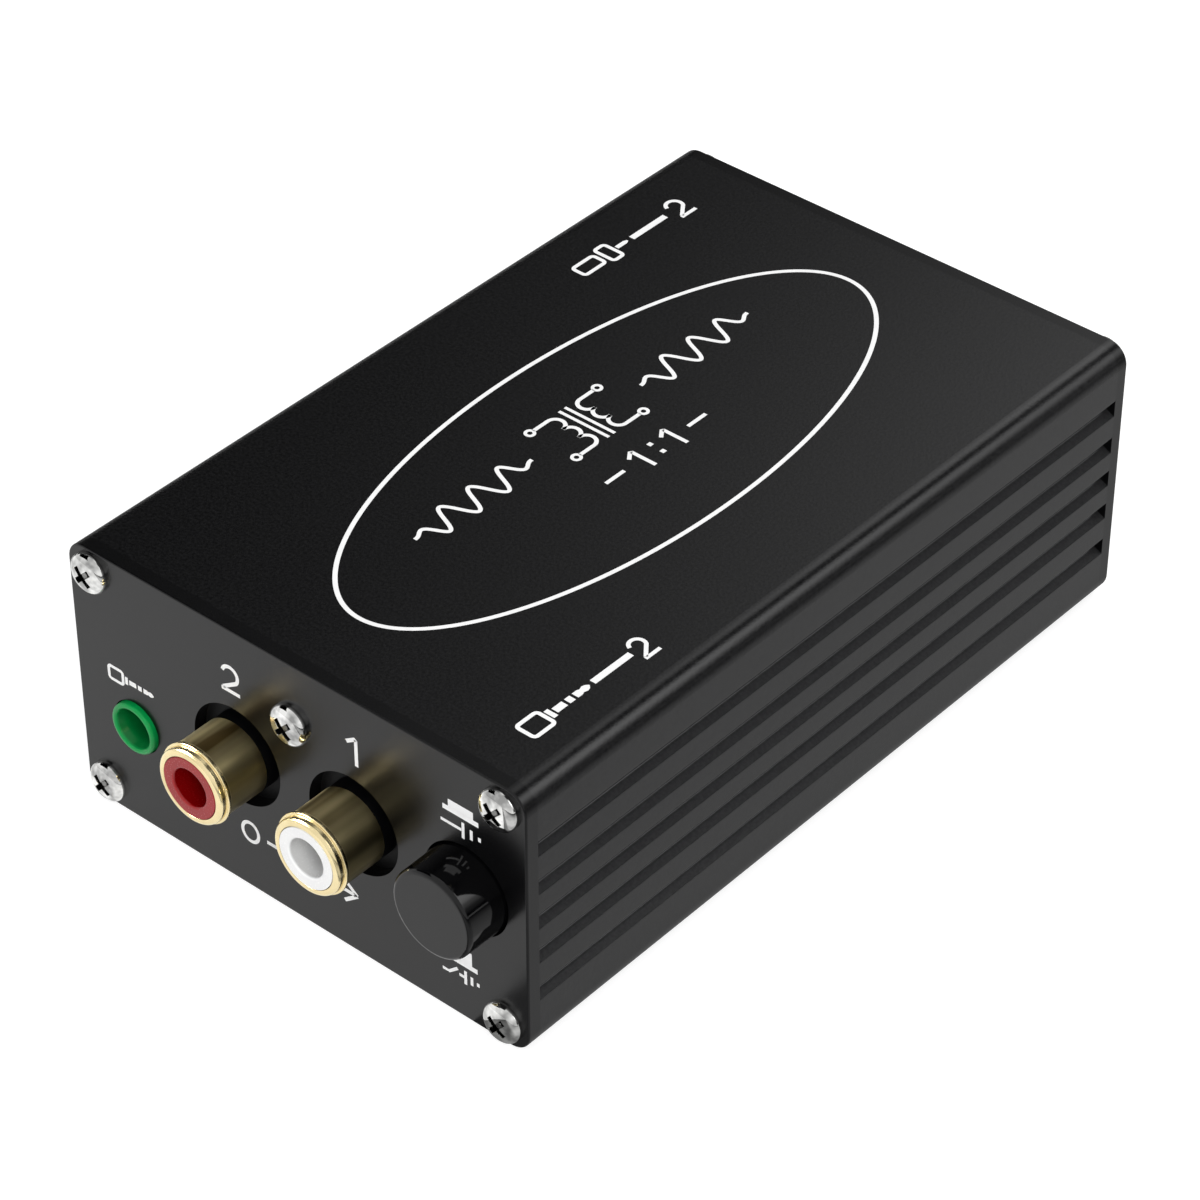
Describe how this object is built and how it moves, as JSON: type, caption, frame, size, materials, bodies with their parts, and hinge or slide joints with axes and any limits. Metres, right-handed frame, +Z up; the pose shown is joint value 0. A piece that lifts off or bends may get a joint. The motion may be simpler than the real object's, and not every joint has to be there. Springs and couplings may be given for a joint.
{
  "type": "ground loop isolator",
  "caption": "Flat black extruded metal box with grooved sides and screwed end plates that carry phono sockets, stereo sockets and a push button.",
  "frame": {"origin": "middle of the underside", "axes": "+X across the case, towards the button's side; +Y along the case, from the plate with the button to the other plate; +Z up"},
  "size_m": [0.0556, 0.0996, 0.03],
  "materials": {
    "case_anodised": "fine blasted, black anodised",
    "panel_anodised": "matt dark grey anodised",
    "screw_nickel": "bright",
    "socket_gold": "bright gold plating",
    "contact_brass": "plain",
    "tinned": "tinned",
    "spring_steel": "drawn wire",
    "core_steel": "laminated",
    "red_plastic": "satin",
    "white_plastic": "satin",
    "green_plastic": "satin",
    "black_plastic": "moulded",
    "button_black": "glossy",
    "bobbin_plastic": "moulded",
    "winding_tape": "tape over copper wire",
    "board": "solder mask"
  },
  "bodies": {
    "case": {"case_extrusion": "case_anodised", "circuit_board": "board", "switch_housing": "black_plastic", "switch_spring": "spring_steel", "switch_pins": "tinned", "front_panel": "panel_anodised", "front_panel_screws": "screw_nickel", "front_jack_screw": "screw_nickel", "front_jack_block": "black_plastic", "front_jack_pins": "tinned", "front_aux_housing": "green_plastic", "front_aux_contacts": "contact_brass", "front_aux_pins": "tinned", "front_red_shell": "socket_gold", "front_red_insulator": "red_plastic", "front_red_contact": "contact_brass", "front_white_shell": "socket_gold", "front_white_insulator": "white_plastic", "front_white_contact": "contact_brass", "rear_panel": "panel_anodised", "rear_panel_screws": "screw_nickel", "rear_jack_screw": "screw_nickel", "rear_jack_block": "black_plastic", "rear_jack_pins": "tinned", "rear_aux_housing": "green_plastic", "rear_aux_contacts": "contact_brass", "rear_aux_pins": "tinned", "rear_red_shell": "socket_gold", "rear_red_insulator": "red_plastic", "rear_red_contact": "contact_brass", "rear_white_shell": "socket_gold", "rear_white_insulator": "white_plastic", "rear_white_contact": "contact_brass", "left_transformer_core": "core_steel", "left_transformer_bobbin": "bobbin_plastic", "left_transformer_winding": "winding_tape", "left_transformer_pins": "tinned", "right_transformer_core": "core_steel", "right_transformer_bobbin": "bobbin_plastic", "right_transformer_winding": "winding_tape", "right_transformer_pins": "tinned"},
    "button": {"button_cap": "button_black", "switch_plunger": "white_plastic"}
  },
  "joints": [
    {"name": "button_push", "type": "slide", "parent": "case", "child": "button", "axis": [0, 1, 0], "range_m": [0, 0.0025], "stiffness_N_per_m": 300, "springref_m": -0.004, "deforming": ["switch_spring"]}
  ]
}
